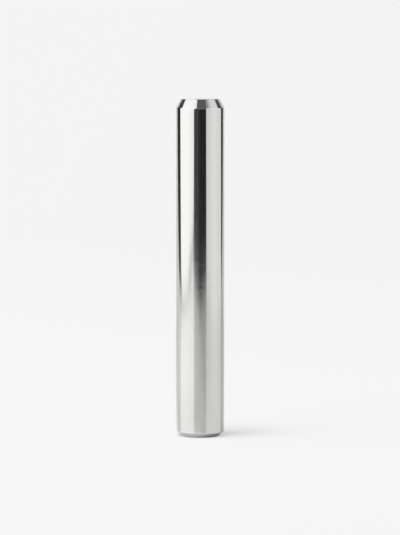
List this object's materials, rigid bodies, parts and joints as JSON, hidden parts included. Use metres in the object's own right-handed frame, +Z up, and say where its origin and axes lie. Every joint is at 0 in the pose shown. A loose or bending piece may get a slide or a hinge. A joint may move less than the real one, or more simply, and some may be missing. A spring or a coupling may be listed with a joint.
{
  "type": "dowel pin",
  "caption": "Plain round steel dowel pin, ground and polished, with a slim lead-in chamfer at one end and a short chamfer at the foot.",
  "frame": {"origin": "centre of the foot face, on the surface that the pin stands on", "axes": "+Z up the pin's axis, from the foot to the lead-in end; the pin is round about Z, so +X and +Y have no feature of their own"},
  "size_m": [0.01, 0.01, 0.07],
  "materials": {
    "ground_steel": "centreless ground and polished"
  },
  "bodies": {
    "root": {"dowel_pin": "ground_steel"}
  },
  "joints": []
}
